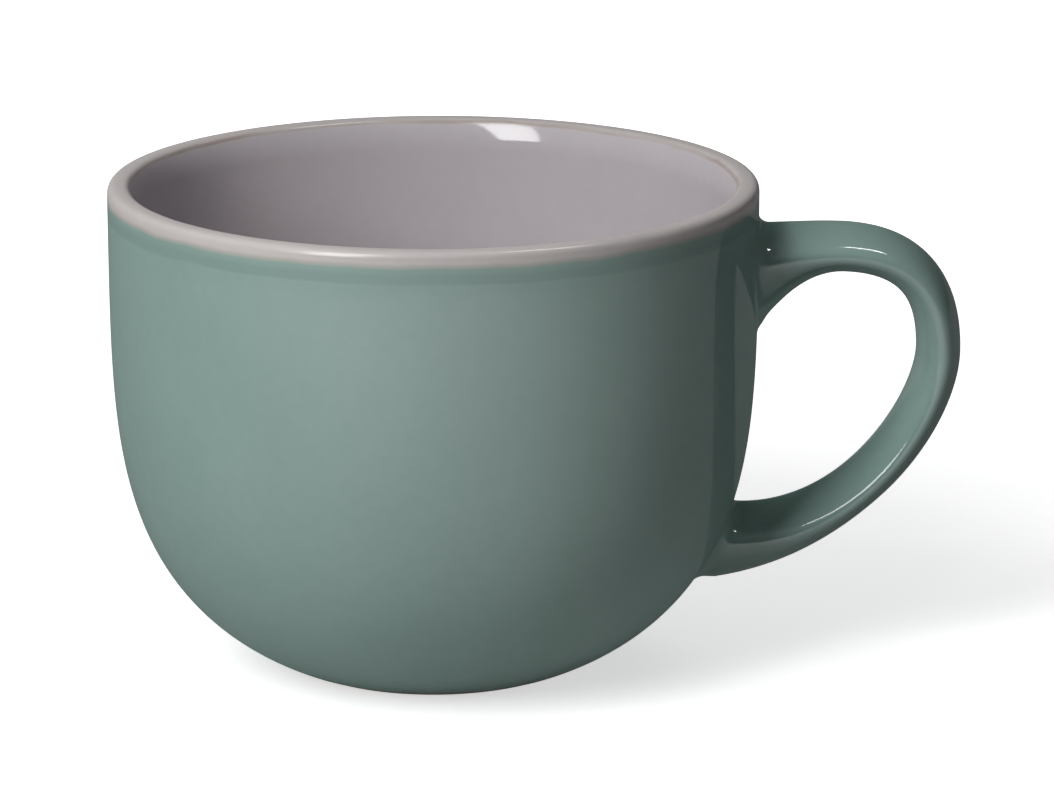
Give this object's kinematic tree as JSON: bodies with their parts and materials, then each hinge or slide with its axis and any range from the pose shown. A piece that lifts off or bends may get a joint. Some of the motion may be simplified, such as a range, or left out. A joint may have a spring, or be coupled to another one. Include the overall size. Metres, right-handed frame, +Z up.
{
  "type": "mug",
  "caption": "Wide round-bottomed mug with a looped handle, green glaze outside and white glaze inside and over the lip, on a bare clay foot ring.",
  "frame": {"origin": "middle of the whole mug's footprint on the table, handle included; the cup's own axis stands upright at X -18.24 mm, Y 0", "axes": "+Z up out of the mouth, +X from the cup towards the handle, Y across the handle, whose middle plane is Y 0"},
  "size_m": [0.1524, 0.116, 0.088],
  "materials": {
    "clay": "bare fired stoneware, matt and slightly rough",
    "slip": "fired slip, matt",
    "white_glaze": "gloss off-white glaze",
    "green_glaze": "gloss grey-green glaze"
  },
  "bodies": {
    "root": {"body": "clay", "handle": "clay", "upper_slip_joint": "slip", "lower_slip_joint": "slip", "liner_glaze": "white_glaze", "outer_glaze": "green_glaze", "handle_glaze": "green_glaze", "base_glaze": "green_glaze"}
  },
  "joints": []
}
